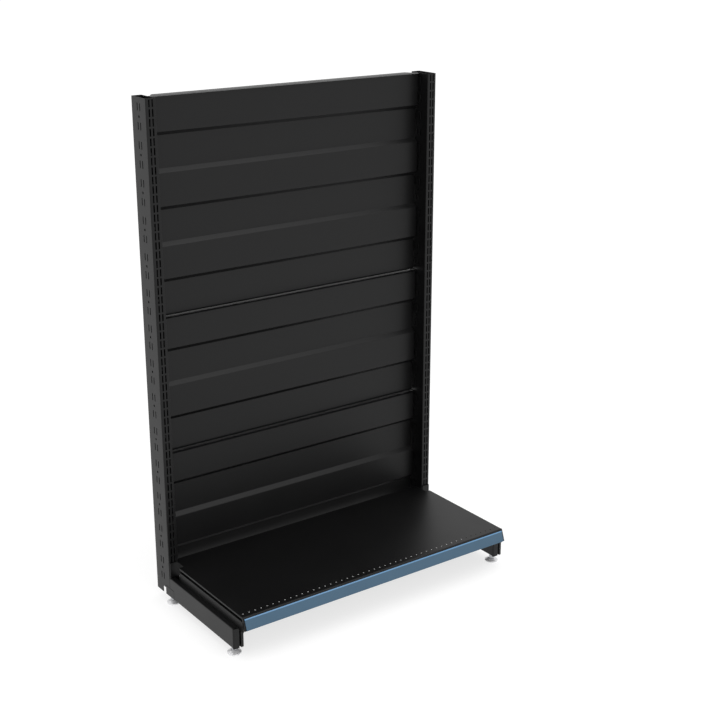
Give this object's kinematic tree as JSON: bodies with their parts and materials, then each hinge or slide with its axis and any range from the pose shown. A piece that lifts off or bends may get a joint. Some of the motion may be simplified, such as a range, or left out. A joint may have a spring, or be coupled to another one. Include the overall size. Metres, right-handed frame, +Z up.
{
  "type": "gondola shelving unit",
  "caption": "Single-sided gondola shelving bay with slotted uprights, folded back panels, a lift-off base shelf with a sloping ticket strip, and screw levelling feet.",
  "frame": {"origin": "on the floor, under the middle of the overall width and depth", "axes": "+X along the shelf to the customer's right, +Y from the customer side to the back panels, +Z up"},
  "size_m": [0.965, 0.4738, 1.456],
  "materials": {
    "black_powder_coat": "fine-textured satin black powder coat",
    "plated_steel": "bright zinc plate",
    "chrome": "turned and polished, with fine radial marks",
    "blue_strip": "extruded steel-blue plastic, satin"
  },
  "bodies": {
    "frame": {"upright_left": "black_powder_coat", "upright_right": "black_powder_coat", "back_panel_top": "black_powder_coat", "back_panel_middle": "black_powder_coat", "back_panel_bottom": "black_powder_coat", "base_leg_left": "black_powder_coat", "base_leg_right": "black_powder_coat", "leg_closer_left": "black_powder_coat", "leg_closer_right": "black_powder_coat", "leg_hook_left": "black_powder_coat", "leg_hook_right": "black_powder_coat", "rear_foot_bracket_left": "black_powder_coat", "rear_foot_bracket_right": "black_powder_coat", "front_nut_plate_left": "black_powder_coat", "front_nut_plate_right": "black_powder_coat", "foot_nut_front_left": "plated_steel", "foot_nut_front_right": "plated_steel", "foot_nut_rear_left": "plated_steel", "foot_nut_rear_right": "plated_steel"},
    "base_shelf": {"base_shelf": "black_powder_coat", "shelf_end_left": "black_powder_coat", "shelf_end_right": "black_powder_coat", "shelf_stiffener_front": "black_powder_coat", "shelf_stiffener_rear": "black_powder_coat", "ticket_strip": "blue_strip"},
    "foot_front_left": {"foot_disc_front_left": "chrome"},
    "screw_front_left": {"foot_spindle_front_left": "plated_steel"},
    "foot_front_right": {"foot_disc_front_right": "chrome"},
    "screw_front_right": {"foot_spindle_front_right": "plated_steel"},
    "foot_rear_left": {"foot_disc_rear_left": "chrome"},
    "screw_rear_left": {"foot_spindle_rear_left": "plated_steel"},
    "foot_rear_right": {"foot_disc_rear_right": "chrome"},
    "screw_rear_right": {"foot_spindle_rear_right": "plated_steel"}
  },
  "joints": [
    {"name": "shelf_lift", "type": "slide", "parent": "frame", "child": "base_shelf", "axis": [0, 0, 1], "range_m": [0, 0.1]},
    {"name": "foot_front_left_height", "type": "slide", "parent": "frame", "child": "foot_front_left", "axis": [0, 0, -1], "range_m": [0, 0.02]},
    {"name": "screw_front_left_turn", "type": "hinge", "parent": "foot_front_left", "child": "screw_front_left", "pos_m": [-0.4625, -0.17614, 0.01], "axis": [0, 0, -1], "range_deg": [0, 4801]},
    {"name": "foot_front_right_height", "type": "slide", "parent": "frame", "child": "foot_front_right", "axis": [0, 0, -1], "range_m": [0, 0.02]},
    {"name": "screw_front_right_turn", "type": "hinge", "parent": "foot_front_right", "child": "screw_front_right", "pos_m": [0.4625, -0.17614, 0.01], "axis": [0, 0, -1], "range_deg": [0, 4801]},
    {"name": "foot_rear_left_height", "type": "slide", "parent": "frame", "child": "foot_rear_left", "axis": [0, 0, -1], "range_m": [0, 0.02]},
    {"name": "screw_rear_left_turn", "type": "hinge", "parent": "foot_rear_left", "child": "screw_rear_left", "pos_m": [-0.4625, 0.16686, 0.01], "axis": [0, 0, -1], "range_deg": [0, 4801]},
    {"name": "foot_rear_right_height", "type": "slide", "parent": "frame", "child": "foot_rear_right", "axis": [0, 0, -1], "range_m": [0, 0.02]},
    {"name": "screw_rear_right_turn", "type": "hinge", "parent": "foot_rear_right", "child": "screw_rear_right", "pos_m": [0.4625, 0.16686, 0.01], "axis": [0, 0, -1], "range_deg": [0, 4801]}
  ],
  "couplings": [
    {"joint": "screw_front_left_turn", "follows": "foot_front_left_height", "rad_per_m": 4188.8},
    {"joint": "screw_front_right_turn", "follows": "foot_front_right_height", "rad_per_m": 4188.8},
    {"joint": "screw_rear_left_turn", "follows": "foot_rear_left_height", "rad_per_m": 4188.8},
    {"joint": "screw_rear_right_turn", "follows": "foot_rear_right_height", "rad_per_m": 4188.8}
  ]
}
